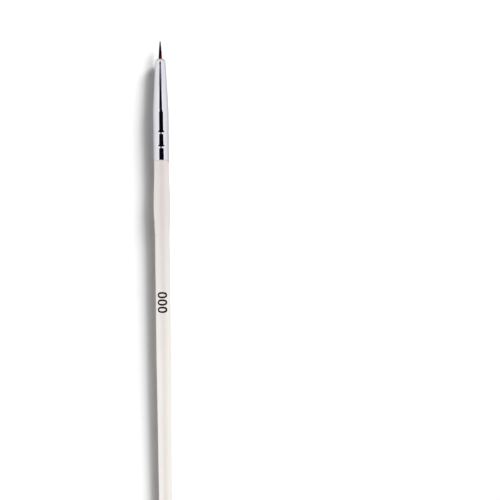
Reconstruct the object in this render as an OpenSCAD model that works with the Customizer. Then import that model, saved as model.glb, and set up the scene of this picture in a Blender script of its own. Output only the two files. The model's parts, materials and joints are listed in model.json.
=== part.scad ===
// Eyeliner brush: a turned and lacquered handle, a drawn metal ferrule that is crimped on its tenon,
// and a fine pointed tuft whose roots are tied with thread and glued into the ferrule's nose.
// It lies on the floor as it comes to rest, on its belly and its tail, with the tip towards +Y.
// All pieces are drawn on one axis, where z is 0 at the ferrule's rear rim, rises towards the tip and
// falls along the handle. laid() then puts them down on the floor.

/* [Hair] */
// Length of hair in front of the ferrule
hair_out = 5.1; // [3:0.1:8]
// Diameter of the bundle of roots
hair_d = 1.0; // [0.7:0.05:1.4]
// Length of the roots inside the ferrule
hair_root = 7; // [5:0.5:10]
// Rings of hairs round the middle one
hair_rings = 5; // [2:1:5]
// Distance past the tip where the lines of the hairs meet
tip_meet = 0.4; // [0.2:0.05:1]
// How much shorter each ring of hairs is than the one inside it
ring_step = 0.14; // [0.02:0.02:0.3]

/* [Thread and glue] */
// Diameter of the thread that ties the roots
thread_d = 0.16; // [0.1:0.02:0.25]
// Turns of thread
thread_turns = 4; // [2:1:6]
// Distance from the end of the roots to the first turn
thread_at = 1.5; // [0.5:0.1:3]
// Thickness of glue behind the roots
glue_cover = 0.8; // [0.4:0.1:2]

/* [Ferrule] */
// Length from rear rim to mouth
ferrule_len = 29.5; // [24:0.5:36]
// Outside diameter of the straight rear part
ferrule_d = 4.47; // [3.8:0.01:5.6]
// Thickness of the metal
wall = 0.25; // [0.15:0.01:0.4]
// Length of the straight rear part
straight_len = 14; // [10:0.1:18]
// Outside diameter where the nose starts to round over
nose_d = 3.04; // [2.4:0.02:3.6]
// Length of the rounded nose
nose_len = 1.3; // [0.8:0.1:2]
// Fullness of the tapering part: 1 is a straight cone, and more is fuller
taper_fullness = 1.1; // [1:0.1:2]
// Bevel on the edge of the rear rim
rim_bevel = 0.07; // [0.02:0.01:0.12]

/* [Crimps] */
// Distance from the rear rim to the first crimp
crimp_at = 3.95; // [2:0.05:5]
// Distance from the first crimp to the second
crimp_pitch = 4.1; // [2:0.1:5]
// Length of each crimp
crimp_len = 1.0; // [0.6:0.1:1.6]
// Depth of each crimp
crimp_depth = 0.08; // [0.04:0.01:0.2]

/* [Handle] */
// Length from the ferrule's rim to the end of the tail
handle_len = 145.4; // [100:0.1:170]
// Length of the tenon inside the ferrule
tenon_len = 12.5; // [10:0.5:16]
// How far the shoulder lies below the outside of the ferrule
shoulder_drop = 0.09; // [0:0.01:0.2]
// Length of bare wood between the rim and the lacquer
bare_len = 0.25; // [0.1:0.05:0.6]
// Thickness of the lacquer
lacquer = 0.05; // [0.02:0.01:0.1]
// Length of the straight collar at the shoulder
collar_len = 1.5; // [1:0.1:4]
// Diameter of the belly
belly_d = 4.86; // [4.4:0.01:6.5]
// Distance from the rim to the fullest place of the belly
belly_at = 13.6; // [10:0.1:20]
// Diameter of the waist and of the straight run behind it
waist_d = 4.3; // [3.6:0.01:5]
// Distance from the rim to the waist
waist_at = 23; // [21:0.5:35]
// Distance from the rim to the start of the tail's taper
taper_at = 55; // [40:1:80]
// Diameter of the tail's end
tail_d = 3.2; // [2:0.1:4]
// Length of the tail's rounded end
tail_round = 1.7; // [0.8:0.1:3]

/* [Fits] */
// Gap all round between tenon and ferrule
tenon_gap = 0.03; // [0.01:0.01:0.08]
// Gap all round the hair in the ferrule's mouth
mouth_gap = 0.05; // [0.02:0.01:0.1]
// Gap all round the glue, thread and roots
glue_gap = 0.02; // [0.01:0.01:0.04]

/* [Hidden] */
// Faces round a turned piece
turned_fn = 96;
// Faces round the thread
thread_fn = 32;
// Sides of a hair
hair_sides = 6;
// Cone bands in a curved stretch of an outline
curve_steps = 12;

ferrule_r = ferrule_d / 2;
nose_r = nose_d / 2;
nose_at = ferrule_len - nose_len;
crimps = [crimp_at, crimp_at + crimp_pitch];

shoulder_r = ferrule_r - shoulder_drop;
belly_r = belly_d / 2;
waist_r = waist_d / 2;
tail_r = tail_d / 2;
tail_at = handle_len - tail_round;
tenon_bevel = 0.4;

root_r = hair_d / 2;
mouth_r = root_r + mouth_gap;
root_end = ferrule_len - hair_root;
glue_end = root_end - glue_cover;
// Hairs spring from the end face of the roots, just inside the mouth, and point at one place
root_face = ferrule_len - wall;
meet_at = ferrule_len + hair_out + tip_meet;
// Rim of the end face that is left round the outer ring of hairs
root_skin = 0.03;
hair_pitch = (root_r - root_skin) / (hair_rings + 0.5);
// Share of the pitch that a hair is thick, and how deep it is set in the end face
hair_fill = 0.9;
hair_set = 0.3;
// The first turn's centre, and the share of the thread's diameter by which each turn moves on, so that
// the turns press together
thread_r = root_r + glue_gap + thread_d / 2;
thread_z = root_end + thread_at;
thread_lay = 0.9;

function ease(share) = (1 - cos(180 * share)) / 2;
function steps(from, to) = [for (i = [0 : curve_steps]) from + (to - from) * i / curve_steps];

// How far a crimp pushes the metal in, at z
function crimp_dip(z) = crimp_depth * max([
    for (c = crimps) abs(z - c) < crimp_len / 2 ? ease(1 - 2 * abs(z - c) / crimp_len) : 0
]);
// Outside radius of the ferrule at z, from the rear rim to the nose
function ferrule_out(z) = z <= straight_len
    ? ferrule_r - crimp_dip(z)
    : ferrule_r - (ferrule_r - nose_r) * pow((z - straight_len) / (nose_at - straight_len), taper_fullness);
// Places along the ferrule where its outline turns, from the rear rim to the nose
ferrule_stops = concat(
    [for (c = crimps) each steps(c - crimp_len / 2, c + crimp_len / 2)],
    steps(straight_len, nose_at)
);
// The nose is a quarter of an ellipse. in is how far inside the metal's outer face the outline lies.
function nose_arc(in, edge_r) = [
    for (a = [0 : 90 / curve_steps : 90])
        [edge_r + (nose_r - in - edge_r) * cos(a), nose_at + (nose_len - in) * sin(a)]
];
function reversed(list) = [for (i = [len(list) - 1 : -1 : 0]) list[i]];

// Radius of the handle at a distance behind the rim
function handle_out(d) =
    d < collar_len ? shoulder_r
    : d < belly_at ? shoulder_r + (belly_r - shoulder_r) * ease((d - collar_len) / (belly_at - collar_len))
    : d < waist_at ? belly_r + (waist_r - belly_r) * ease((d - belly_at) / (waist_at - belly_at))
    : d < taper_at ? waist_r
    : waist_r + (tail_r - waist_r) * (d - taper_at) / (tail_at - taper_at);
handle_stops = concat(
    [bare_len + lacquer],
    steps(collar_len, belly_at),
    steps(belly_at, waist_at),
    [taper_at, tail_at]
);
handle_side = concat(
    [for (d = handle_stops) [handle_out(d), -d]],
    [for (a = [0 : 90 / curve_steps : 90]) [tail_r * cos(a), -tail_at - tail_round * sin(a)]]
);
tenon_side = concat(
    [for (z = ferrule_stops) if (z < tenon_len - tenon_bevel) z],
    [tenon_len - tenon_bevel]
);

// The brush tips back until something behind the belly touches the floor, which is the lowest slope
lie_tilt = min([
    for (p = handle_side) if (p.y < -waist_at) atan((belly_r - p.x) / (-belly_at - p.y))
]);
lie_z = max([for (p = handle_side) p.x * cos(lie_tilt) - p.y * sin(lie_tilt)]);
// Half of the difference between what is in front of the rim and what is behind it
lie_y = (handle_len - ferrule_len - hair_out) * cos(lie_tilt) / 2;

module laid() {
    translate([0, lie_y, lie_z])
        rotate([lie_tilt - 90, 0, 0])
            children();
}

module turned(outline) {
    rotate_extrude($fn = turned_fn) polygon(outline);
}

// One turned piece: the tenon with the grooves that the crimps bite into, a ring of bare wood at the
// shoulder, and the lacquered side
module handle() {
    bare_r = shoulder_r - lacquer;
    color("ghostwhite") laid() turned(concat(
        [[0, tenon_len], [ferrule_out(tenon_len) - wall - tenon_gap - tenon_bevel, tenon_len]],
        [for (z = reversed(tenon_side)) [ferrule_out(z) - wall - tenon_gap, z]],
        [[ferrule_r - wall - tenon_gap, 0], [bare_r, 0], [bare_r, -bare_len]],
        handle_side
    ));
}

// A drawn tube of one thickness, with its nose turned in round the mouth and its two crimps, each a
// groove outside and a ridge inside
module ferrule() {
    inner_rim = [ferrule_r - wall, 0];
    outer_rim = [[ferrule_r - rim_bevel, 0], [ferrule_r, rim_bevel]];
    color("silver") laid() turned(concat(
        outer_rim,
        [for (z = ferrule_stops) [ferrule_out(z), z]],
        nose_arc(0, mouth_r),
        reversed(nose_arc(wall, mouth_r)),
        [for (z = reversed(ferrule_stops)) [ferrule_out(z) - wall, z]],
        [inner_rim]
    ));
}

// One hair: a slender cone from its place in the end face towards the place where all hairs point
module hair(place_r, place_a, end_z) {
    rise = meet_at - root_face;
    slant = norm([place_r, rise]);
    thick_r = hair_pitch * hair_fill / 2;
    end_share = (end_z - root_face) / rise;
    rotate([0, 0, place_a])
        translate([place_r, 0, root_face])
            rotate([0, -atan(place_r / rise), 0])
                translate([0, 0, -hair_set])
                    cylinder(
                        h = hair_set + slant * end_share,
                        r1 = thick_r * (1 + hair_set / slant),
                        r2 = thick_r * (1 - end_share),
                        $fn = hair_sides
                    );
}

// The tuft: the glued roots are one round bundle, and the hairs spring from its end face in rings
module bristles() {
    tip_z = ferrule_len + hair_out;
    color("saddlebrown") laid() {
        translate([0, 0, root_end]) cylinder(h = root_face - root_end, r = root_r, $fn = turned_fn);
        hair(0, 0, tip_z);
        for (ring = [1 : hair_rings], k = [0 : 6 * ring - 1])
            hair(ring * hair_pitch, (k + ring / 2) * 60 / ring, tip_z - ring_step * (ring - (k % 3) / 3));
    }
}

// Outline of the wound thread, drawn thicker by grow on every side
module thread_outline(grow) {
    for (turn = [0 : thread_turns - 1])
        translate([thread_r, thread_z + turn * thread_d * thread_lay])
            circle(d = thread_d + 2 * grow, $fn = thread_fn);
}

// The thread that ties the roots: turns wound side by side
module knot_thread() {
    color("linen") laid() rotate_extrude($fn = turned_fn) thread_outline(0);
}

// Hardened glue that fills the nose round the roots and the thread, and covers the roots behind. It
// doesn't run in under the turns of thread.
module glue_plug() {
    fill_in = wall + glue_gap;
    bore_r = root_r + glue_gap;
    color("khaki") laid() rotate_extrude($fn = turned_fn) difference() {
        polygon(concat(
            [[0, glue_end], [ferrule_out(glue_end) - fill_in, glue_end]],
            [for (z = ferrule_stops) if (z > glue_end) [ferrule_out(z) - fill_in, z]],
            nose_arc(fill_in, bore_r),
            [[bore_r, root_end - glue_gap], [0, root_end - glue_gap]]
        ));
        thread_outline(glue_gap);
        translate([root_r, thread_z])
            square([thread_r - root_r, (thread_turns - 1) * thread_d * thread_lay]);
    }
}

handle();
ferrule();
bristles();
knot_thread();
glue_plug();
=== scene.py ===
"""The finish of a fine eyeliner brush: its turned handle, plated ferrule, pointed hair and size number.

Pieces are drawn in millimetres in the brush's own frame, where z is 0 at the ferrule's rear rim, rises
towards the tip and falls along the handle, and y points down. LAID then lays them on the floor, where the
frame has the brush.
"""

import json
import math

import bpy
from mathutils import Matrix, Vector


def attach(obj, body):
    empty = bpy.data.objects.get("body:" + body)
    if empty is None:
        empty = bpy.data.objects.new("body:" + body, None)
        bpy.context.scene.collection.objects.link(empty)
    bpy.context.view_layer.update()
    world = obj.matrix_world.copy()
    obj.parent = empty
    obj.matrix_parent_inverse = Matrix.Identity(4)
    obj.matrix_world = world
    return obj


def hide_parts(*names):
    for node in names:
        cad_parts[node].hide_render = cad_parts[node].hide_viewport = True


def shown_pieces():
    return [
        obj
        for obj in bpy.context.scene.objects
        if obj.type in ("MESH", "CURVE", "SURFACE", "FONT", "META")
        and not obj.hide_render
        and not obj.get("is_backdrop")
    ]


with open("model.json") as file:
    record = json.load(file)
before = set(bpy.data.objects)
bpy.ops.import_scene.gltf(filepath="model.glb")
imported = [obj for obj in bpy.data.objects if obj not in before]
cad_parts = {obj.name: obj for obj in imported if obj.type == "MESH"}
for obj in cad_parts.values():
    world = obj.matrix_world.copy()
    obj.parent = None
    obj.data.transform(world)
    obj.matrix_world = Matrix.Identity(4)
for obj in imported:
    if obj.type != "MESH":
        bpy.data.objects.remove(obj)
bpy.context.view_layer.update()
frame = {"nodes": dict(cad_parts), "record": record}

MM = 0.001

# Ferrule
FERRULE_LEN = 29.5
FERRULE_R = 4.47 / 2
WALL = 0.25
STRAIGHT_LEN = 14
NOSE_R = 3.04 / 2
NOSE_LEN = 1.3
NOSE_AT = FERRULE_LEN - NOSE_LEN
TAPER_FULLNESS = 1.1
RIM_BEVEL = 0.07
CRIMPS = (3.95, 8.05)
CRIMP_LEN = 1.0
CRIMP_DEPTH = 0.08

# Handle, with distances from the ferrule's rear rim
HANDLE_LEN = 145.4
TENON_LEN = 12.5
TENON_BEVEL = 0.4
TENON_GAP = 0.03
SHOULDER_DROP = 0.09
SHOULDER_R = FERRULE_R - SHOULDER_DROP
BARE_LEN = 0.25
LACQUER = 0.05
COLLAR_LEN = 1.5
BELLY_R = 4.86 / 2
BELLY_AT = 13.6
WAIST_R = 4.3 / 2
WAIST_AT = 23
TAPER_AT = 55
TAIL_R = 3.2 / 2
TAIL_ROUND = 1.7
TAIL_AT = HANDLE_LEN - TAIL_ROUND

# Hair, whose lines meet a little past the tip
HAIR_OUT = 5.1
TIP_MEET = 0.28
ROOT_LEN = 7
ROOT_END = FERRULE_LEN - ROOT_LEN
ROOT_FACE = FERRULE_LEN - WALL
MOUTH_R = 0.55
HAIR_GAP = 0.03
BUNDLE_R = MOUTH_R - HAIR_GAP
# Power of the tuft's outline: 1 is a straight cone, and less is fuller
HAIR_FULLNESS = 0.58
# A hair's thickness as a share of its pitch
HAIR_PACKING = 1.0
# How much shorter than the middle an outer hair can be, and how far a hair wavers
HAIR_STAGGER = 0.22
HAIR_WAVER = 0.012
HAIR_SEED = 7

# Size number, printed on the handle
DIGITS = 3
DIGIT_HIGH = 3.0
DIGIT_WIDE = 1.84
DIGIT_PITCH = 2.12
DIGIT_STROKE = 0.53
# Power of the superellipse that a digit follows: 2 is an ellipse, and more is squarer
DIGIT_SQUARENESS = 2.3
INK_THICK = 0.012
NUMBER_AT = -41.12
NUMBER_TURN = math.radians(-4.6)

# Fineness of the meshes
FACETS = 160
CURVE_STEPS = 24
LIP_STEPS = 6
# A short straight step beside a bend, which keeps its shading out of the long stretch next to it
HOLD = 0.05
FINEST_EDGE = 0.001
SHARP_ANGLE = math.radians(32)
HAIRS = 300
HAIR_SIDES = 5
HAIR_POINTS = 11
DIGIT_POINTS = 96
# Points round a digit's stroke, enough of them across it to follow the handle without sinking into it
STROKE_POINTS = 20


# The brush's own frame

def lay_down():
    """Takes the brush's own millimetres to the frame's metres, from the mount between the crimps."""
    seat = next(m for m in frame["record"]["mounts"] if m["name"] == "ferrule_seat")
    along = Vector(seat["axis"]).normalized()
    across = Vector((1, 0, 0))
    down = along.cross(across)
    rim = Vector(seat["pos_m"]) - along * sum(CRIMPS) / 2 * MM
    turn = Matrix((across, down, along)).transposed().to_4x4()
    return Matrix.Translation(rim) @ turn @ Matrix.Scale(MM, 4)


LAID = lay_down()


# Outlines, with the same rules as the CAD model

def ease(share):
    return (1 - math.cos(math.pi * share)) / 2


def steps(start, end, count=CURVE_STEPS):
    return [start + (end - start) * i / count for i in range(count + 1)]


def quarter(count=CURVE_STEPS):
    return steps(0, math.pi / 2, count)


def crimp_dip(z):
    """How far a crimp pushes the metal in."""
    near = min(abs(z - crimp) for crimp in CRIMPS)
    return CRIMP_DEPTH * ease(1 - 2 * near / CRIMP_LEN) if near < CRIMP_LEN / 2 else 0


def ferrule_out(z):
    if z <= STRAIGHT_LEN:
        return FERRULE_R - crimp_dip(z)
    taper = (z - STRAIGHT_LEN) / (NOSE_AT - STRAIGHT_LEN)
    return FERRULE_R - (FERRULE_R - NOSE_R) * taper ** TAPER_FULLNESS


def handle_out(d):
    if d < COLLAR_LEN:
        return SHOULDER_R
    if d < BELLY_AT:
        return SHOULDER_R + (BELLY_R - SHOULDER_R) * ease((d - COLLAR_LEN) / (BELLY_AT - COLLAR_LEN))
    if d < WAIST_AT:
        return BELLY_R + (WAIST_R - BELLY_R) * ease((d - BELLY_AT) / (WAIST_AT - BELLY_AT))
    if d < TAPER_AT:
        return WAIST_R
    return WAIST_R + (TAIL_R - WAIST_R) * (d - TAPER_AT) / (TAIL_AT - TAPER_AT)


def ferrule_stops():
    """Heights at which the ferrule's side turns, from the rear rim to the nose."""
    stops = []
    for crimp in CRIMPS:
        start, end = crimp - CRIMP_LEN / 2, crimp + CRIMP_LEN / 2
        stops += [start - HOLD, *steps(start, end), end + HOLD]
    return stops + [STRAIGHT_LEN - HOLD] + steps(STRAIGHT_LEN, NOSE_AT)


def nose_arc(inset):
    """A quarter of an ellipse, from the side of the nose to its mouth."""
    wide = NOSE_R - inset - MOUTH_R
    high = NOSE_LEN - inset
    return [(MOUTH_R + wide * math.cos(a), NOSE_AT + high * math.sin(a)) for a in quarter()]


def ferrule_outline():
    """A closed section of the tube, from the mouth down the outside and back up the inside."""
    outside = [(FERRULE_R - RIM_BEVEL, 0), (FERRULE_R, RIM_BEVEL)]
    outside += [(ferrule_out(z), z) for z in ferrule_stops()] + nose_arc(0)
    inside = [(FERRULE_R - WALL, 0)]
    inside += [(ferrule_out(z) - WALL, z) for z in ferrule_stops()] + nose_arc(WALL)
    return outside[::-1] + inside + [outside[-1]]


def handle_outline():
    """From the middle of the tenon's end to the middle of the tail."""
    fit = WALL + TENON_GAP
    bare_r = SHOULDER_R - LACQUER
    bevel_at = TENON_LEN - TENON_BEVEL
    tenon_stops = [bevel_at] + [z for z in ferrule_stops()[::-1] if z < bevel_at]
    tenon = [(0, TENON_LEN), (ferrule_out(TENON_LEN) - fit - TENON_BEVEL, TENON_LEN)]
    tenon += [(ferrule_out(z) - fit, z) for z in tenon_stops]
    shoulder = [(FERRULE_R - fit, 0), (bare_r, 0), (bare_r, -BARE_LEN)]
    lip = [
        (bare_r + LACQUER * math.sin(a), -BARE_LEN - LACQUER * (1 - math.cos(a)))
        for a in quarter(LIP_STEPS)
    ]
    places = steps(COLLAR_LEN, BELLY_AT) + steps(BELLY_AT, WAIST_AT)
    places += steps(WAIST_AT, TAPER_AT)[1:] + steps(TAPER_AT, TAIL_AT)[1:]
    side = [(handle_out(d), -d) for d in places]
    tail = [(TAIL_R * math.cos(a), -TAIL_AT - TAIL_ROUND * math.sin(a)) for a in quarter()[1:]]
    return tenon + shoulder + lip + side + tail


# Building node trees

def add(tree, kind, inputs=None, **settings):
    """A new node with its settings. Each input is a value, or another node's socket to link."""
    node = tree.nodes.new(kind)
    for name, value in settings.items():
        setattr(node, name, value)
    for key, value in (inputs or {}).items():
        if isinstance(value, bpy.types.NodeSocket):
            tree.links.new(value, node.inputs[key])
        else:
            node.inputs[key].default_value = value
    return node


def first(tree, kind, inputs=None, **settings):
    """The first output of a new node."""
    return add(tree, kind, inputs, **settings).outputs[0]


def calc(tree, operation, *values):
    return first(tree, "ShaderNodeMath", dict(enumerate(values)), operation=operation)


def plus(tree, a, b):
    return calc(tree, "ADD", a, b)


def minus(tree, a, b):
    return calc(tree, "SUBTRACT", a, b)


def times(tree, a, b):
    return calc(tree, "MULTIPLY", a, b)


def over(tree, a, b):
    return calc(tree, "DIVIDE", a, b)


def polar(tree, radius, angle):
    """The two parts of a radius: along the direction that angles are counted from, and across it."""
    return times(tree, radius, calc(tree, "COSINE", angle)), times(tree, radius, calc(tree, "SINE", angle))


def vector(tree, x=0.0, y=0.0, z=0.0):
    return first(tree, "ShaderNodeCombineXYZ", {"X": x, "Y": y, "Z": z})


def split(tree, value):
    return add(tree, "ShaderNodeSeparateXYZ", {"Vector": value}).outputs


def ramp(tree, value, low, high, to_low=0.0, to_high=1.0, smooth=True):
    """A value that goes from to_low to to_high as another goes from low to high."""
    inputs = {"Value": value, "From Min": low, "From Max": high, "To Min": to_low, "To Max": to_high}
    style = "SMOOTHSTEP" if smooth else "LINEAR"
    return first(tree, "ShaderNodeMapRange", inputs, interpolation_type=style)


def blend(tree, share, start, end):
    """One colour going over into another. The node's sockets 6 and 7 are the ones for colours."""
    return add(tree, "ShaderNodeMix", {0: share, 6: start, 7: end}, data_type="RGBA").outputs[2]


def colour(red, green, blue):
    return (red, green, blue, 1.0)


def new_group(name, kind, inputs, outputs):
    """An empty tree with named sockets, each given as (name, socket type) or (name, socket type, value)."""
    tree = bpy.data.node_groups.new(name, kind)
    for label, socket_type, *value in inputs:
        socket = tree.interface.new_socket(label, in_out="INPUT", socket_type=socket_type)
        if value:
            socket.default_value = value[0]
    for label, socket_type in outputs:
        tree.interface.new_socket(label, in_out="OUTPUT", socket_type=socket_type)
    return tree, tree.nodes.new("NodeGroupInput").outputs, tree.nodes.new("NodeGroupOutput").inputs


def new_geometry_tree(name, sizes):
    geometry = ("Geometry", "NodeSocketGeometry")
    inputs = [geometry, *sizes, ("Material", "NodeSocketMaterial")]
    return new_group(name, "GeometryNodeTree", inputs, [geometry])


def end_geometry_tree(tree, into, out, skin):
    real = first(tree, "GeometryNodeRealizeInstances", {"Geometry": skin})
    dressed = first(tree, "GeometryNodeSetMaterial", {"Geometry": real, "Material": into["Material"]})
    tree.links.new(dressed, out["Geometry"])


def new_shader_group(name, sizes, results):
    return new_group(name, "ShaderNodeTree", sizes, [(label, "NodeSocketFloat") for label in results])


# Geometry trees

def moved(tree, geometry, place):
    return first(tree, "GeometryNodeSetPosition", {"Geometry": geometry, "Position": place})


def stored(tree, geometry, name, value, kind):
    """Geometry that keeps a value under a name."""
    inputs = {"Geometry": geometry, "Name": name, "Value": value}
    return first(tree, "GeometryNodeStoreNamedAttribute", inputs, data_type=kind)


def repeated(tree, points, instance):
    """Real copies of a thing, one at each point."""
    copies = first(tree, "GeometryNodeInstanceOnPoints", {"Points": points, "Instance": instance})
    return first(tree, "GeometryNodeRealizeInstances", {"Geometry": copies})


def rectangle(tree, width, height, points):
    curve = first(tree, "GeometryNodeCurvePrimitiveQuadrilateral", {"Width": width, "Height": height})
    return first(tree, "GeometryNodeResampleCurve", {"Curve": curve, "Count": points})


def lathe_tree():
    """Turns an outline, a row of points with X as the radius, round Z into a closed skin."""
    tree, into, out = new_geometry_tree(
        "Turned on a lathe",
        [
            ("Facets", "NodeSocketInt", 64),
            ("Finest edge", "NodeSocketFloat", 0.001),
            ("Sharp angle", "NodeSocketFloat", 0.5),
        ],
    )
    outline = into["Geometry"]
    stations = first(tree, "GeometryNodeAttributeDomainSize", {"Geometry": outline}, component="MESH")
    around = plus(tree, into["Facets"], 1)
    grid = first(tree, "GeometryNodeMeshGrid", {"Vertices X": stations, "Vertices Y": around})
    index = first(tree, "GeometryNodeInputIndex")
    station = calc(tree, "FLOOR", over(tree, plus(tree, index, 0.5), around))
    step = minus(tree, index, times(tree, station, around))
    angle = times(tree, step, over(tree, math.tau, into["Facets"]))
    place = first(tree, "GeometryNodeInputPosition")
    wanted = {"Geometry": outline, "Value": place, "Index": station}
    sample = first(tree, "GeometryNodeSampleIndex", wanted, data_type="FLOAT_VECTOR")
    spin = {"Vector": sample, "Angle": angle}
    skin = moved(tree, grid, first(tree, "ShaderNodeVectorRotate", spin, rotation_type="Z_AXIS"))
    near = {"Geometry": skin, "Distance": into["Finest edge"]}
    skin = first(tree, "GeometryNodeMergeByDistance", near)
    bend = first(tree, "GeometryNodeInputMeshEdgeAngle")
    sharp = calc(tree, "GREATER_THAN", bend, into["Sharp angle"])
    skin = first(tree, "GeometryNodeSetShadeSmooth", {"Geometry": skin, "Shade Smooth": True})
    creased = {"Geometry": skin, "Selection": sharp, "Shade Smooth": False}
    skin = first(tree, "GeometryNodeSetShadeSmooth", creased, domain="EDGE")
    end_geometry_tree(tree, into, out, skin)
    return tree


def tuft_tree():
    """A pointed tuft: straight roots in a round bundle, and free hairs that draw together to one place."""
    tree, into, out = new_geometry_tree(
        "Tuft of hair",
        [
            ("Hairs", "NodeSocketInt", 100),
            ("Points", "NodeSocketInt", 8),
            ("Sides", "NodeSocketInt", 5),
            ("Bundle radius", "NodeSocketFloat", 0.5),
            ("Root end", "NodeSocketFloat", 0.0),
            ("Root face", "NodeSocketFloat", 7.0),
            ("Tip", "NodeSocketFloat", 12.0),
            ("Meeting place", "NodeSocketFloat", 12.5),
            ("Fullness", "NodeSocketFloat", 0.8),
            ("Packing", "NodeSocketFloat", 0.9),
            ("Stagger", "NodeSocketFloat", 0.5),
            ("Waver", "NodeSocketFloat", 0.01),
            ("Seed", "NodeSocketInt", 0),
        ],
    )
    points = first(tree, "GeometryNodePoints", {"Count": into["Hairs"]})
    points = stored(tree, points, "hair", first(tree, "GeometryNodeInputIndex"), "INT")
    line = first(tree, "GeometryNodeCurvePrimitiveLine", {"End": (0, 0, 1)})
    line = first(tree, "GeometryNodeResampleCurve", {"Curve": line, "Count": into["Points"]})
    lines = repeated(tree, points, line)

    hair = first(tree, "GeometryNodeInputNamedAttribute", {"Name": "hair"}, data_type="INT")

    def chance(offset):
        """A number from 0 to 1 that belongs to one hair."""
        inputs = {"ID": hair, "Seed": plus(tree, into["Seed"], offset)}
        return add(tree, "FunctionNodeRandomValue", inputs, data_type="FLOAT").outputs[1]

    golden = math.pi * (3 - math.sqrt(5))
    share = calc(tree, "SQRT", over(tree, plus(tree, hair, 0.5), into["Hairs"]))
    angle = times(tree, hair, golden)

    # The first point of a hair is its root's end, the second is in the mouth, and the others are free
    station = add(tree, "GeometryNodeSplineParameter").outputs["Index"]
    along = over(tree, minus(tree, station, 1), minus(tree, into["Points"], 2))
    free = calc(tree, "MAXIMUM", along, 0)
    at_root = calc(tree, "MAXIMUM", minus(tree, 1, station), 0)
    short = times(tree, into["Stagger"], times(tree, share, chance(1)))
    reach = minus(tree, minus(tree, into["Tip"], short), into["Root face"])
    rooted = times(tree, at_root, minus(tree, into["Root face"], into["Root end"]))
    height = plus(tree, into["Root face"], times(tree, free, reach))
    height = minus(tree, height, rooted)

    span = minus(tree, into["Meeting place"], into["Root face"])
    left = over(tree, minus(tree, into["Meeting place"], height), span)
    drawn = calc(tree, "POWER", calc(tree, "MINIMUM", left, 1), into["Fullness"])
    out_r = times(tree, times(tree, into["Bundle radius"], share), drawn)
    sway = times(tree, into["Waver"], times(tree, drawn, free))
    phase = times(tree, chance(2), math.tau)
    swing = plus(tree, phase, times(tree, free, times(tree, chance(3), math.tau)))
    x, y = polar(tree, out_r, angle)
    sway_x, sway_y = polar(tree, sway, swing)
    place = vector(tree, plus(tree, x, sway_x), plus(tree, y, sway_y), height)
    lines = stored(tree, moved(tree, lines, place), "hair_tone", chance(4), "FLOAT")

    spread = calc(tree, "SQRT", over(tree, math.pi, into["Hairs"]))
    pitch = times(tree, into["Bundle radius"], spread)
    thick = times(tree, times(tree, pitch, into["Packing"]), over(tree, drawn, 2))
    ring = first(tree, "GeometryNodeCurvePrimitiveCircle", {"Resolution": into["Sides"], "Radius": 1.0})
    solid = {"Curve": lines, "Profile Curve": ring, "Scale": thick, "Fill Caps": True}
    end_geometry_tree(tree, into, out, first(tree, "GeometryNodeCurveToMesh", solid))
    return tree


def printed_number_tree():
    """A row of noughts in thin ink, which runs along a cylinder. The noughts' tops point round it."""
    tree, into, out = new_geometry_tree(
        "Printed number",
        [
            ("Digits", "NodeSocketInt", 3),
            ("High", "NodeSocketFloat", 3.0),
            ("Wide", "NodeSocketFloat", 2.0),
            ("Pitch", "NodeSocketFloat", 2.2),
            ("Stroke", "NodeSocketFloat", 0.4),
            ("Squareness", "NodeSocketFloat", 2.5),
            ("Ink", "NodeSocketFloat", 0.01),
            ("Cylinder radius", "NodeSocketFloat", 2.0),
            ("Middle", "NodeSocketFloat", 0.0),
            ("Turn", "NodeSocketFloat", 0.0),
        ],
    )
    length = minus(tree, into["High"], into["Stroke"])
    width = minus(tree, into["Wide"], into["Stroke"])
    nought = rectangle(tree, length, width, DIGIT_POINTS)
    stroke = rectangle(tree, into["Stroke"], into["Ink"], STROKE_POINTS)
    # Each point moves onto a superellipse, which is straighter along the digit's sides than an ellipse
    flat = split(tree, first(tree, "GeometryNodeInputPosition"))
    turn = calc(tree, "ARCTAN2", over(tree, flat[1], width), over(tree, flat[0], length))
    power = over(tree, 2, into["Squareness"])
    sides = []
    for wave, size in (("COSINE", length), ("SINE", width)):
        value = calc(tree, wave, turn)
        bowed = calc(tree, "POWER", calc(tree, "ABSOLUTE", value), power)
        signed = times(tree, bowed, calc(tree, "SIGN", value))
        sides.append(times(tree, signed, times(tree, size, 0.5)))
    nought = moved(tree, nought, vector(tree, *sides))
    nought = first(tree, "GeometryNodeCurveToMesh", {"Curve": nought, "Profile Curve": stroke})
    start = times(tree, into["Pitch"], over(tree, minus(tree, 1, into["Digits"]), 2))
    row = {
        "Count": into["Digits"],
        "Start Location": vector(tree, y=start),
        "Offset": vector(tree, y=into["Pitch"]),
    }
    number = repeated(tree, first(tree, "GeometryNodeMeshLine", row), nought)
    flat = split(tree, first(tree, "GeometryNodeInputPosition"))
    angle = plus(tree, into["Turn"], over(tree, flat[0], into["Cylinder radius"]))
    lift = plus(tree, flat[2], times(tree, into["Ink"], 0.5))
    up, x = polar(tree, plus(tree, into["Cylinder radius"], lift), angle)
    z = plus(tree, into["Middle"], flat[1])
    skin = moved(tree, number, vector(tree, x, times(tree, up, -1), z))
    end_geometry_tree(tree, into, out, skin)
    return tree


def grown(name, tree, values, start=()):
    """A piece whose plain mesh a geometry tree makes from its values, laid down where the brush lies."""
    seed = bpy.data.meshes.new(name)
    seed.from_pydata(start, [], [])
    piece = bpy.data.objects.new(name, seed)
    bpy.context.scene.collection.objects.link(piece)
    modifier = piece.modifiers.new(tree.name, "NODES")
    modifier.node_group = tree
    for item in tree.interface.items_tree:
        if item.in_out == "INPUT" and item.name in values:
            modifier[item.identifier] = values[item.name]
    shaped = piece.evaluated_get(bpy.context.evaluated_depsgraph_get())
    mesh = bpy.data.meshes.new_from_object(shaped)
    piece.modifiers.remove(modifier)
    piece.data = mesh
    mesh.name = name
    mesh.transform(LAID)
    bpy.data.meshes.remove(seed)
    return piece


# Shader groups

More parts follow.
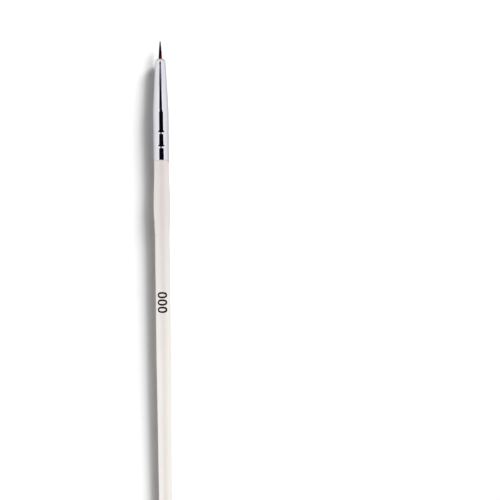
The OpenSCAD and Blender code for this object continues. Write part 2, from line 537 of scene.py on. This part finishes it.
def brush_places_group():
    """Where a point is: along the brush from the rim, round it from the top, and out from its axis."""
    tree, _, out = new_shader_group("Places on the brush", [], ["Along", "Round", "Out"])
    place, turn, size = LAID.decompose()
    inputs = {
        "Vector": add(tree, "ShaderNodeTexCoord").outputs["Object"],
        "Location": place,
        "Rotation": turn.to_euler(),
        "Scale": size,
    }
    x, y, z = split(tree, first(tree, "ShaderNodeMapping", inputs, vector_type="TEXTURE"))
    out_r = calc(tree, "SQRT", plus(tree, times(tree, x, x), times(tree, y, y)))
    tree.links.new(z, out["Along"])
    tree.links.new(calc(tree, "ARCTAN2", x, times(tree, y, -1)), out["Round"])
    tree.links.new(out_r, out["Out"])
    return tree


PLACES = brush_places_group()


def places_on(tree):
    return add(tree, "ShaderNodeGroup", node_tree=PLACES).outputs


def streaks_group():
    """Fine lines along the brush, as drawing leaves them in metal and growth leaves them in wood."""
    sizes = [
        ("Lines per mm", "NodeSocketFloat", 10.0),
        ("Run in mm", "NodeSocketFloat", 10.0),
        ("Waver", "NodeSocketFloat", 0.0),
    ]
    tree, into, out = new_shader_group("Streaks along the brush", sizes, ["Streaks"])
    at = places_on(tree)
    y, x = polar(tree, at["Out"], at["Round"])
    x = times(tree, x, into["Lines per mm"])
    y = times(tree, y, into["Lines per mm"])
    where = vector(tree, x, y, over(tree, at["Along"], into["Run in mm"]))
    noise = {"Vector": where, "Scale": 1.0, "Detail": 3.0, "Distortion": into["Waver"]}
    tree.links.new(first(tree, "ShaderNodeTexNoise", noise), out["Streaks"])
    return tree


def specks_group():
    """Sparse round specks, such as dust caught in a finish."""
    sizes = [
        ("Spacing in mm", "NodeSocketFloat", 2.0),
        ("Size in mm", "NodeSocketFloat", 0.1),
        ("Share", "NodeSocketFloat", 0.2),
    ]
    tree, into, out = new_shader_group("Specks", sizes, ["Specks"])
    at = places_on(tree)
    y, x = polar(tree, at["Out"], at["Round"])
    where = vector(tree, x, y, at["Along"])
    scale = over(tree, 1, into["Spacing in mm"])
    cells = add(tree, "ShaderNodeTexVoronoi", {"Vector": where, "Scale": scale}).outputs
    size = over(tree, into["Size in mm"], into["Spacing in mm"])
    near = calc(tree, "LESS_THAN", cells["Distance"], size)
    luck = first(tree, "ShaderNodeSeparateColor", {"Color": cells["Color"]})
    chosen = calc(tree, "LESS_THAN", luck, into["Share"])
    tree.links.new(times(tree, near, chosen), out["Specks"])
    return tree


def clouds_group():
    """Soft noise in all directions, for colours and surfaces that aren't quite even."""
    sizes = [("Clouds per mm", "NodeSocketFloat", 1.0), ("Detail", "NodeSocketFloat", 2.0)]
    tree, into, out = new_shader_group("Clouds", sizes, ["Clouds"])
    where = add(tree, "ShaderNodeTexCoord").outputs["Object"]
    scale = times(tree, into["Clouds per mm"], 1 / MM)
    noise = {"Vector": where, "Scale": scale, "Detail": into["Detail"]}
    tree.links.new(first(tree, "ShaderNodeTexNoise", noise), out["Clouds"])
    return tree


STREAKS = streaks_group()
SPECKS = specks_group()
CLOUDS = clouds_group()


def streaks_on(tree, lines, run, waver=0.0):
    values = {"Lines per mm": lines, "Run in mm": run, "Waver": waver}
    return first(tree, "ShaderNodeGroup", values, node_tree=STREAKS)


def specks_on(tree, spacing, size, share):
    values = {"Spacing in mm": spacing, "Size in mm": size, "Share": share}
    return first(tree, "ShaderNodeGroup", values, node_tree=SPECKS)


def clouds_on(tree, per_mm, detail=2.0):
    values = {"Clouds per mm": per_mm, "Detail": detail}
    return first(tree, "ShaderNodeGroup", values, node_tree=CLOUDS)


# Materials

# Along the brush, where the lacquer's paler colour is full. Its darker one is full at the rim
PALEST_AT = -60
# How much of the wood's colour shows through the thin lacquer at the rim
THIN_TINT = 0.12
# Half the length over which the tenon's bare wood starts, at the rim
WOOD_EDGE = 0.02
# Worn places in the lacquer: how far behind the rim they are, their turn from the top in degrees, half their
# length and half their width in degrees
CHIP = (0.25, 90, 0.5, 30)
NICKS = ((17.8, -76, 0.5, 12), (21.5, -77, 0.45, 11))
# The noise's swing at the thin lacquer's edge, in millimetres. A worn place's distance is squared and is 1 at
# its outline: how many times that swing it gets, and how far its soft edge reaches to each side
RAGGED = 0.12
WORN_RAGGED = 4
WORN_SOFT = 0.15

# Painted light that the nose reflects onto the roots: distances in front of the ferrule's mouth at which it
# is gone and full, and its share
PAINTED_NOSE_LIGHT_GONE = 1.7
PAINTED_NOSE_LIGHT_FULL = -0.1
PAINTED_NOSE_LIGHT = 0.7

# How fast the thread's twist turns, for each radian round the brush and each millimetre along it
TWIST_ROUND = 22
TWIST_ALONG = 26


def new_material(name, **values):
    """A material with one Principled shader, and its sockets' plain values."""
    material = bpy.data.materials.new(name)
    material.use_nodes = True
    tree = material.node_tree
    shader = next(node for node in tree.nodes if node.type == "BSDF_PRINCIPLED")
    for socket, value in values.items():
        shader.inputs[socket.replace("_", " ")].default_value = value
    return material, tree, shader.inputs


def raise_surface(tree, sockets, height, deep_mm, strength):
    """Bump from a height that goes from 0 to 1, which is deep_mm deep."""
    inputs = {"Height": height, "Distance": deep_mm * MM, "Strength": strength}
    tree.links.new(first(tree, "ShaderNodeBump", inputs), sockets["Normal"])


def spotted(tree, base, spots, share, tint):
    """A colour that takes on a share of another where the spots are."""
    return blend(tree, times(tree, spots, share), base, tint)


def worn_place(tree, at, ragged, behind, turn, half_len, half_turn):
    """A ragged place in the lacquer: 1 inside it and 0 outside."""
    turned = minus(tree, at["Round"], math.radians(turn))
    across = over(tree, turned, math.radians(half_turn))
    along = over(tree, plus(tree, at["Along"], behind), half_len)
    near = plus(tree, times(tree, across, across), times(tree, along, along))
    near = plus(tree, near, times(tree, ragged, WORN_RAGGED))
    return ramp(tree, near, 1 + WORN_SOFT, 1 - WORN_SOFT)


def lacquered_wood():
    """Satin pinkish-white lacquer over pale wood, which is bare on the tenon and tints the rim."""
    material, tree, sockets = new_material("lacquered_wood", Coat_Roughness=0.1, IOR=1.5)
    at = places_on(tree)
    grain = streaks_on(tree, lines=7.0, run=9.0, waver=0.6)
    wood = blend(tree, grain, colour(0.56, 0.29, 0.08), colour(0.42, 0.20, 0.05))
    cloud = clouds_on(tree, per_mm=0.05)
    back_share = ramp(tree, at["Along"], 0, PALEST_AT, smooth=False)
    front = blend(tree, cloud, colour(0.69, 0.636, 0.622), colour(0.715, 0.66, 0.643))
    back = blend(tree, cloud, colour(0.82, 0.777, 0.729), colour(0.85, 0.807, 0.759))
    paint = blend(tree, back_share, front, back)
    specks = specks_on(tree, spacing=3.2, size=0.09, share=0.12)
    paint = spotted(tree, paint, specks, 0.45, colour(0.25, 0.2, 0.17))
    # On the ring at the rim the lacquer is thin, and the wood tints it
    ragged = times(tree, minus(tree, clouds_on(tree, per_mm=1.5), 0.5), RAGGED)
    edge = plus(tree, at["Along"], ragged)
    thin = ramp(tree, edge, -BARE_LEN - LACQUER, -BARE_LEN + LACQUER, 0.0, THIN_TINT)
    paint = blend(tree, thin, paint, wood)
    for nick in NICKS:
        grimy = worn_place(tree, at, ragged, *nick)
        paint = spotted(tree, paint, grimy, 0.8, colour(0.26, 0.23, 0.21))
    chipped = worn_place(tree, at, ragged, *CHIP)
    bare = calc(tree, "MAXIMUM", chipped, ramp(tree, at["Along"], -WOOD_EDGE, WOOD_EDGE))
    tree.links.new(blend(tree, bare, paint, wood), sockets["Base Color"])
    gloss = plus(tree, 0.34, times(tree, cloud, 0.08))
    rough = ramp(tree, bare, 0, 1, 0.0, 0.6, smooth=False)
    tree.links.new(calc(tree, "MAXIMUM", gloss, rough), sockets["Roughness"])
    tree.links.new(ramp(tree, bare, 0, 1, 0.8, 0.0, smooth=False), sockets["Coat Weight"])
    tree.links.new(ramp(tree, bare, 0, 1, 0.5, 0.1, smooth=False), sockets["Specular IOR Level"])
    peel = clouds_on(tree, per_mm=0.9, detail=1.0)
    surface = plus(tree, times(tree, peel, 0.25), times(tree, grain, 0.12))
    surface = plus(tree, surface, times(tree, specks, 0.4))
    raise_surface(tree, sockets, surface, deep_mm=0.02, strength=0.5)
    return material


def plated_metal():
    """Bright nickel plate over drawn brass, with faint drawing lines and a few fine specks."""
    material, tree, sockets = new_material("plated_metal", Metallic=1.0)
    lines = streaks_on(tree, lines=9.0, run=14.0, waver=0.2)
    specks = specks_on(tree, spacing=1.4, size=0.03, share=0.25)
    plate = blend(tree, lines, colour(0.86, 0.85, 0.88), colour(0.90, 0.90, 0.92))
    plate = spotted(tree, plate, specks, 0.5, colour(0.45, 0.43, 0.42))
    tree.links.new(plate, sockets["Base Color"])
    rough = plus(tree, 0.03, times(tree, lines, 0.03))
    tree.links.new(plus(tree, rough, times(tree, specks, 0.2)), sockets["Roughness"])
    raise_surface(tree, sockets, lines, deep_mm=0.0012, strength=0.5)
    return material


def dyed_hair():
    """Dark reddish-brown hair, each hair a little different, and painted lighter where it leaves the ferrule,
    as light reflected from the nose.
    """
    material, tree, sockets = new_material("dyed_hair", Roughness=0.5, Specular_IOR_Level=0.04)
    at = places_on(tree)
    tone = add(tree, "ShaderNodeAttribute", attribute_name="hair_tone").outputs["Fac"]
    dark = blend(tree, tone, colour(0.010, 0.0005, 0.0004), colour(0.030, 0.002, 0.001))
    gone, full = FERRULE_LEN + PAINTED_NOSE_LIGHT_GONE, FERRULE_LEN + PAINTED_NOSE_LIGHT_FULL
    # Painted light: the roots near the mouth are lighter by the light that the nose reflects onto them
    base = ramp(tree, at["Along"], gone, full, 0.0, PAINTED_NOSE_LIGHT)
    tree.links.new(blend(tree, base, dark, colour(0.12, 0.018, 0.004)), sockets["Base Color"])
    scales = streaks_on(tree, lines=2.0, run=0.02)
    raise_surface(tree, sockets, scales, deep_mm=0.002, strength=0.4)
    return material


def linen_thread():
    """Waxed thread, twisted, which binds the roots, with painted shade in the twist's grooves."""
    material, tree, sockets = new_material("linen_thread", Roughness=0.75, Sheen_Weight=0.25)
    at = places_on(tree)
    lay = plus(tree, times(tree, at["Round"], TWIST_ROUND), times(tree, at["Along"], TWIST_ALONG))
    twist = times(tree, plus(tree, calc(tree, "SINE", lay), 1), 0.5)
    # Painted shade: the colour is darker where the twist's bump is low, in the grooves
    linen_with_groove_shade = blend(tree, twist, colour(0.42, 0.36, 0.25), colour(0.72, 0.66, 0.52))
    tree.links.new(linen_with_groove_shade, sockets["Base Color"])
    raise_surface(tree, sockets, twist, deep_mm=0.02, strength=0.8)
    return material


def hardened_glue():
    """Amber glue, cloudy and with fine bubbles."""
    material, tree, sockets = new_material(
        "hardened_glue",
        Roughness=0.18,
        Subsurface_Weight=0.4,
        Subsurface_Scale=0.0006,
    )
    cloud = clouds_on(tree, per_mm=1.2, detail=3.0)
    bubbles = specks_on(tree, spacing=0.5, size=0.06, share=0.4)
    amber = blend(tree, cloud, colour(0.62, 0.40, 0.14), colour(0.78, 0.58, 0.28))
    amber = spotted(tree, amber, bubbles, 0.4, colour(0.9, 0.82, 0.62))
    tree.links.new(amber, sockets["Base Color"])
    surface = minus(tree, cloud, times(tree, bubbles, 0.5))
    raise_surface(tree, sockets, surface, deep_mm=0.02, strength=0.5)
    return material


def black_ink():
    """Black pad-printing ink, a little uneven."""
    material, tree, sockets = new_material("black_ink", Specular_IOR_Level=0.1)
    cover = clouds_on(tree, per_mm=4.0, detail=3.0)
    ink = blend(tree, cover, colour(0.003, 0.0025, 0.0025), colour(0.01, 0.008, 0.008))
    tree.links.new(ink, sockets["Base Color"])
    tree.links.new(plus(tree, 0.5, times(tree, cover, 0.2)), sockets["Roughness"])
    raise_surface(tree, sockets, cover, deep_mm=0.004, strength=0.4)
    return material


def pale_floor():
    """A plain matt white board."""
    material, tree, sockets = new_material("pale_floor", Roughness=0.9, Specular_IOR_Level=0.0)
    fibres = clouds_on(tree, per_mm=0.6, detail=4.0)
    board = blend(tree, fibres, colour(0.90, 0.90, 0.90), colour(0.92, 0.92, 0.92))
    tree.links.new(board, sockets["Base Color"])
    return material


# Pieces

def turned_piece(name, outline, material, node):
    values = {
        "Facets": FACETS,
        "Finest edge": FINEST_EDGE,
        "Sharp angle": SHARP_ANGLE,
        "Material": material,
    }
    piece = grown(name, LATHE, values, [(r, 0, z) for r, z in outline])
    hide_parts(node)
    return piece


def make_tuft():
    values = {
        "Hairs": HAIRS,
        "Points": HAIR_POINTS,
        "Sides": HAIR_SIDES,
        "Bundle radius": BUNDLE_R,
        "Root end": ROOT_END,
        "Root face": ROOT_FACE,
        "Tip": FERRULE_LEN + HAIR_OUT,
        "Meeting place": FERRULE_LEN + HAIR_OUT + TIP_MEET,
        "Fullness": HAIR_FULLNESS,
        "Packing": HAIR_PACKING,
        "Stagger": HAIR_STAGGER,
        "Waver": HAIR_WAVER,
        "Seed": HAIR_SEED,
        "Material": dyed_hair(),
    }
    piece = grown("hair_tuft", tuft_tree(), values)
    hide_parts("bristles")
    return piece


def make_number():
    values = {
        "Digits": DIGITS,
        "High": DIGIT_HIGH,
        "Wide": DIGIT_WIDE,
        "Pitch": DIGIT_PITCH,
        "Stroke": DIGIT_STROKE,
        "Squareness": DIGIT_SQUARENESS,
        "Ink": INK_THICK,
        "Cylinder radius": WAIST_R,
        "Middle": NUMBER_AT,
        "Turn": NUMBER_TURN,
        "Material": black_ink(),
    }
    return grown("size_number", printed_number_tree(), values)


def dress(node, material):
    """Gives a CAD node that stays in sight its material."""
    slots = frame["nodes"][node].data.materials
    slots.clear()
    slots.append(material)


LATHE = lathe_tree()
handle = turned_piece("turned_handle", handle_outline(), lacquered_wood(), "handle")
ferrule = turned_piece("drawn_ferrule", ferrule_outline(), plated_metal(), "ferrule")
tuft = make_tuft()
number = make_number()
dress("knot_thread", linen_thread())
dress("glue_plug", hardened_glue())

for piece, slot in ((handle, "lacquered_wood"), (ferrule, "plated_metal"), (tuft, "hair")):
    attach(piece, "root")
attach(number, "root")


# Camera, which looks straight down with the brush left of the middle and leaning a little

FRAME_SIDE = 500
LENS = 135
SENSOR = 36
CLIP_START = 0.01
MM_PER_PIXEL = 0.29
RIM_PIXEL = Vector((161.51, 160.5))
BRUSH_LEAN = math.radians(0.672)


def make_camera():
    lens = bpy.data.cameras.new("camera")
    lens.lens = LENS
    lens.sensor_width = SENSOR
    lens.clip_start = CLIP_START
    camera = bpy.data.objects.new("camera", lens)
    bpy.context.scene.collection.objects.link(camera)
    bpy.context.scene.camera = camera
    camera.rotation_euler = (0, 0, -BRUSH_LEAN)
    turn = camera.rotation_euler.to_matrix()
    middle = Vector((FRAME_SIDE / 2, FRAME_SIDE / 2))
    across, down = (RIM_PIXEL - middle) * MM_PER_PIXEL * MM
    distance = MM_PER_PIXEL * MM * FRAME_SIDE * LENS / SENSOR
    camera.location = LAID.translation - turn @ Vector((across, -down, 0)) + Vector((0, 0, distance))


# Floor, light and surroundings

FLOOR_HALF = 3.0
WHITE = colour(1, 1, 1)
# The key light is a soft box, which is brightest in its lower part: the direction, spread and strength of
# each part
KEY_PARTS = (
    (Vector((1.2, 1.2, 1.0)), math.radians(22), 4.0),
    (Vector((0.88, 1.2, 1.0)), math.radians(32), 1.8),
)
# Strength of the light that comes from all round and isn't mirrored
AMBIENT = 0.172
# Direction of the right card. The left one mirrors it
CARD_TO = Vector((1, 0.1, 0.65))
CARD_SPREAD = math.radians(90)
CARD_STRENGTH = 2.45

# What shiny surfaces mirror: white cards, which turn grey low down, and something warm and dark low down past
# the tip. A pair says where that starts and where it is full, as the part of the view's direction that points
# up or, for ALONG, towards the tip
CARDS = colour(0.87, 0.857, 0.87)
CARDS_LOW = colour(0.60, 0.60, 0.63)
LOW_UP = (0.2, -0.75)
PAST_TIP = colour(0.42, 0.36, 0.335)
PAST_TIP_ALONG = (0.4, 0.8)
PAST_TIP_UP = (0.4, -0.5)

# The dark gap between the two overhead cards, which shows as a dark stripe on the metal. All its angles are
# in degrees from straight up. Positive is to the right across the brush, and towards the tip along it. The
# middle's shift and each change of the half width start at one angle along the brush, are full at the next,
# and add the last number across it
GAP_MIDDLE = 3
GAP_SHIFT = (7.0, 9.3, -4.5)
GAP_HALF = 32.2
GAP_CHANGES = (
    (0, -26, 14),
    (3.25, 3.1, 5),
    (4.5, 7.5, -9.2),
    (9.9, 10.1, -1.6),
    (10.45, 10.6, -3),
    (10.75, 10.9, 6.6),
    (11.6, 12.1, -8),
)
# Half the width of the soft edges across the brush, and the soft ends of the gap along it
GAP_SOFT = 1.2
GAP_FRONT = (55, 62)
GAP_BACK = (-50, -60)
# The cards' lit edges, on both sides outside the gap, and a card's bluish edge inside the gap, which fades
# out at the gap's middle and is only on the left
LIT_WIDE = 14
LIT_EDGE = colour(1.05, 1.055, 1.1)
BLUE_WIDE = 9
BLUE_EDGE = colour(0.16, 0.19, 0.27)
LEFT_SOFT = 2
# The gap's colour goes over from black to pale between two angles along the brush, and further on to its
# palest, which is full where the gap's front end starts
GAP_BLACK = colour(0.002, 0.002, 0.005)
GAP_PALE = colour(0.185, 0.19, 0.245)
GAP_PALING = (10.2, 11.5)
GAP_PALEST = colour(0.45, 0.51, 0.63)
GAP_PALEST_FROM = 30


def make_floor():
    mesh = bpy.data.meshes.new("floor")
    corners = [(x * FLOOR_HALF, y * FLOOR_HALF, 0) for x, y in ((-1, -1), (1, -1), (1, 1), (-1, 1))]
    mesh.from_pydata(corners, [], [(0, 1, 2, 3)])
    mesh.materials.append(pale_floor())
    floor = bpy.data.objects.new("floor", mesh)
    bpy.context.scene.collection.objects.link(floor)
    floor.visible_glossy = False
    floor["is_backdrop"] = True
    return floor


def new_sun(name, towards, spread, strength, lit):
    """A far lamp in one direction that lights only the objects in lit, and isn't seen in reflections."""
    data = bpy.data.lights.new(name, "SUN")
    data.energy = strength
    data.angle = spread
    lamp = bpy.data.objects.new(name, data)
    bpy.context.scene.collection.objects.link(lamp)
    lamp.rotation_mode = "QUATERNION"
    lamp.rotation_quaternion = towards.to_track_quat("Z", "Y")
    lamp.visible_glossy = False
    lamp.light_linking.receiver_collection = lit


def collected(name, objects):
    group = bpy.data.collections.new(name)
    for thing in objects:
        group.objects.link(thing)
    return group


def make_lights(floor):
    on_floor = collected("lit_floor", [floor])
    on_brush = collected("lit_brush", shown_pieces())
    for part, (towards, spread, strength) in enumerate(KEY_PARTS):
        new_sun(f"key_{part}", towards, spread, strength, on_floor)
    for side in (-1, 1):
        new_sun(f"card_{side}", CARD_TO * Vector((side, 1, 1)), CARD_SPREAD, CARD_STRENGTH, on_brush)


def overhead_gap(tree, tilt_x, tilt_y, around):
    """What is seen overhead: the gap, the cards' lit edges beside it, and another colour around them."""
    half = GAP_HALF
    for start, end, change in GAP_CHANGES:
        half = plus(tree, half, ramp(tree, tilt_y, start, end, 0, change))
    start, end, change = GAP_SHIFT
    middle = ramp(tree, tilt_y, start, end, GAP_MIDDLE, GAP_MIDDLE + change)
    aside = minus(tree, tilt_x, middle)
    past = minus(tree, calc(tree, "ABSOLUTE", aside), half)
    ends = times(tree, ramp(tree, tilt_y, *GAP_FRONT, 1, 0), ramp(tree, tilt_y, *GAP_BACK, 1, 0))
    lit = times(tree, ramp(tree, past, LIT_WIDE + GAP_SOFT, LIT_WIDE - GAP_SOFT), ends)
    inside = times(tree, ramp(tree, past, GAP_SOFT, -GAP_SOFT), ends)
    left = ramp(tree, aside, LEFT_SOFT, -LEFT_SOFT)
    blue = times(tree, ramp(tree, past, -BLUE_WIDE - GAP_SOFT, -BLUE_WIDE + GAP_SOFT), left)
    dark = blend(tree, blue, GAP_BLACK, BLUE_EDGE)
    dark = blend(tree, ramp(tree, tilt_y, *GAP_PALING), dark, GAP_PALE)
    far = ramp(tree, tilt_y, GAP_PALEST_FROM, GAP_FRONT[0], smooth=False)
    dark = blend(tree, far, dark, GAP_PALEST)
    return blend(tree, inside, blend(tree, lit, around, LIT_EDGE), dark)


def background(tree, seen, strength=1.0):
    return first(tree, "ShaderNodeBackground", {"Color": seen, "Strength": strength})


def make_surroundings():
    """White to the camera, cards with a gap in what is mirrored, and dim light on everything else."""
    world = bpy.data.worlds.new("studio")
    bpy.context.scene.world = world
    world.use_nodes = True
    tree = world.node_tree
    tree.nodes.clear()
    x, y, z = split(tree, add(tree, "ShaderNodeTexCoord").outputs["Generated"])
    tilt_x = calc(tree, "DEGREES", calc(tree, "ARCTAN2", x, z))
    tilt_y = calc(tree, "DEGREES", calc(tree, "ARCTAN2", y, z))
    seen = blend(tree, ramp(tree, z, *LOW_UP), CARDS, CARDS_LOW)
    past_tip = times(tree, ramp(tree, y, *PAST_TIP_ALONG), ramp(tree, z, *PAST_TIP_UP))
    seen = blend(tree, past_tip, seen, PAST_TIP)
    mirrored = background(tree, overhead_gap(tree, tilt_x, tilt_y, seen))
    dim = background(tree, WHITE, AMBIENT)
    ray = add(tree, "ShaderNodeLightPath").outputs
    mixed = first(tree, "ShaderNodeMixShader", {0: ray["Is Glossy Ray"], 1: dim, 2: mirrored})
    white = background(tree, WHITE)
    mixed = first(tree, "ShaderNodeMixShader", {0: ray["Is Camera Ray"], 1: mixed, 2: white})
    add(tree, "ShaderNodeOutputWorld", {"Surface": mixed})


make_camera()
make_lights(make_floor())
make_surroundings()
bpy.context.scene.view_settings.view_transform = "Standard"
